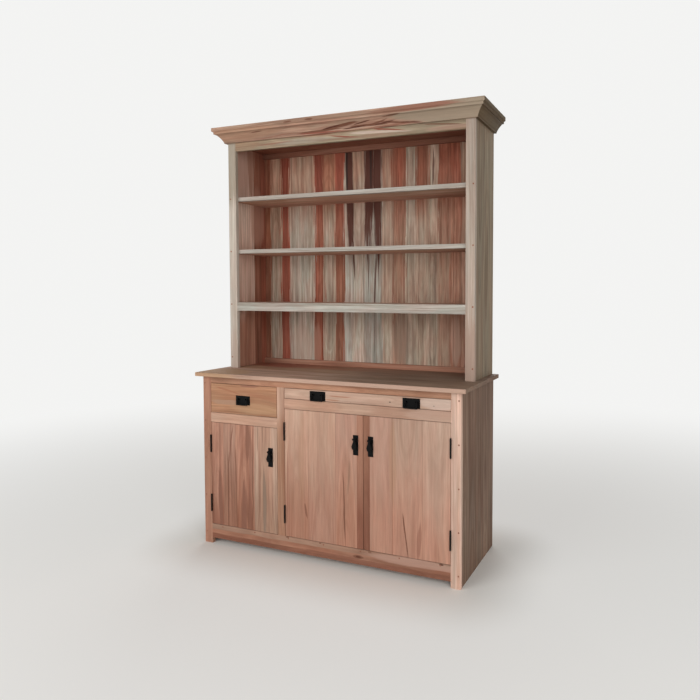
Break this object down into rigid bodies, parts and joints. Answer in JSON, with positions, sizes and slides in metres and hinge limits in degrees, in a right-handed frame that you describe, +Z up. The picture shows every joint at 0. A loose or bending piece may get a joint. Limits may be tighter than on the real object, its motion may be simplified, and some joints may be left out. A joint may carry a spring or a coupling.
{
  "type": "step back cupboard",
  "caption": "Open shelved hutch with a crown on a deeper base cabinet; doors, drawers and black pulls all move.",
  "frame": {"origin": "on the floor, under the middle of the cupboard's plan", "axes": "+X to the right seen from the front, +Y to the back, +Z up"},
  "size_m": [1.564, 0.529, 2.231],
  "materials": {
    "face_wood": "raw, sanded",
    "case_wood": "raw, sanded",
    "counter_wood": "raw, sanded",
    "back_wood": "raw, sanded",
    "shelf_wood": "raw, sanded",
    "crown_wood": "raw, sanded",
    "front_wood": "raw, sanded",
    "inner_wood": "raw, sanded",
    "black_iron": "matt black",
    "hinge_iron": "dark, dull"
  },
  "bodies": {
    "cabinet": {"base_left_stile": "face_wood", "base_right_stile": "face_wood", "base_middle_stile": "face_wood", "base_top_rail": "face_wood", "base_left_drawer_rail": "face_wood", "base_wide_drawer_rail": "face_wood", "base_bottom_rail": "face_wood", "frame_plugs": "face_wood", "base_left_side": "case_wood", "base_right_side": "case_wood", "base_divider": "case_wood", "base_bottom": "case_wood", "base_left_shelf": "case_wood", "base_right_shelf": "case_wood", "hutch_left_side": "case_wood", "hutch_right_side": "case_wood", "hutch_top_board": "case_wood", "counter_top": "counter_wood", "base_back_boards": "back_wood", "hutch_back_boards": "back_wood", "hutch_back_rails": "back_wood", "hutch_left_stile": "shelf_wood", "hutch_right_stile": "shelf_wood", "hutch_top_rail": "shelf_wood", "hutch_shelf_rail": "shelf_wood", "hutch_upper_shelf": "shelf_wood", "hutch_middle_shelf": "shelf_wood", "hutch_lower_shelf": "shelf_wood", "crown_front": "crown_wood", "crown_left": "crown_wood", "crown_right": "crown_wood", "drawer_runners": "inner_wood", "counter_cleats": "inner_wood", "door_stops": "inner_wood", "hutch_dowels": "inner_wood", "frame_hinge_leaves": "hinge_iron", "hinge_pins": "hinge_iron"},
    "left_drawer": {"left_drawer_front": "front_wood", "left_drawer_box": "inner_wood", "left_drawer_bottom": "inner_wood", "left_drawer_pull_plate": "black_iron"},
    "wide_drawer": {"wide_drawer_front": "front_wood", "wide_drawer_box": "inner_wood", "wide_drawer_bottom": "inner_wood", "wide_drawer_pull_plates": "black_iron"},
    "left_drawer_bail": {"left_drawer_bail": "black_iron"},
    "wide_drawer_left_bail": {"wide_drawer_left_bail": "black_iron"},
    "wide_drawer_right_bail": {"wide_drawer_right_bail": "black_iron"},
    "left_door": {"left_door_panel": "front_wood", "left_door_hinge_leaves": "hinge_iron", "left_door_pull_plate": "black_iron"},
    "left_door_pendant": {"left_door_pendant": "black_iron"},
    "centre_door": {"centre_door_panel": "front_wood", "centre_door_hinge_leaves": "hinge_iron", "centre_door_pull_plate": "black_iron"},
    "centre_door_pendant": {"centre_door_pendant": "black_iron"},
    "right_door": {"right_door_panel": "front_wood", "right_door_hinge_leaves": "hinge_iron", "right_door_pull_plate": "black_iron"},
    "right_door_pendant": {"right_door_pendant": "black_iron"}
  },
  "joints": [
    {"name": "left_drawer_slide", "type": "slide", "parent": "cabinet", "child": "left_drawer", "axis": [0, -1, 0], "range_m": [0, 0.33]},
    {"name": "wide_drawer_slide", "type": "slide", "parent": "cabinet", "child": "wide_drawer", "axis": [0, -1, 0], "range_m": [0, 0.33]},
    {"name": "left_door_hinge", "type": "hinge", "parent": "cabinet", "child": "left_door", "pos_m": [-0.677, -0.2398, 0.22], "axis": [0, 0, -1], "range_deg": [0, 170]},
    {"name": "centre_door_hinge", "type": "hinge", "parent": "cabinet", "child": "centre_door", "pos_m": [-0.214, -0.2398, 0.22], "axis": [0, 0, -1], "range_deg": [0, 95]},
    {"name": "right_door_hinge", "type": "hinge", "parent": "cabinet", "child": "right_door", "pos_m": [0.677, -0.2398, 0.22], "axis": [0, 0, 1], "range_deg": [0, 170]},
    {"name": "left_drawer_bail_swing", "type": "hinge", "parent": "left_drawer", "child": "left_drawer_bail", "pos_m": [-0.4685, -0.2465, 0.785], "axis": [-1, 0, 0], "range_deg": [0, 85]},
    {"name": "wide_drawer_left_bail_swing", "type": "hinge", "parent": "wide_drawer", "child": "wide_drawer_left_bail", "pos_m": [-0.0195, -0.2465, 0.8365], "axis": [-1, 0, 0], "range_deg": [0, 85]},
    {"name": "wide_drawer_right_bail_swing", "type": "hinge", "parent": "wide_drawer", "child": "wide_drawer_right_bail", "pos_m": [0.4825, -0.2465, 0.8365], "axis": [-1, 0, 0], "range_deg": [0, 85]},
    {"name": "left_door_pendant_swing", "type": "hinge", "parent": "left_door", "child": "left_door_pendant", "pos_m": [-0.3, -0.2495, 0.528], "axis": [-1, 0, 0], "range_deg": [0, 80]},
    {"name": "centre_door_pendant_swing", "type": "hinge", "parent": "centre_door", "child": "centre_door_pendant", "pos_m": [0.1915, -0.2495, 0.638], "axis": [-1, 0, 0], "range_deg": [0, 80]},
    {"name": "right_door_pendant_swing", "type": "hinge", "parent": "right_door", "child": "right_door_pendant", "pos_m": [0.2715, -0.2495, 0.638], "axis": [-1, 0, 0], "range_deg": [0, 80]}
  ]
}
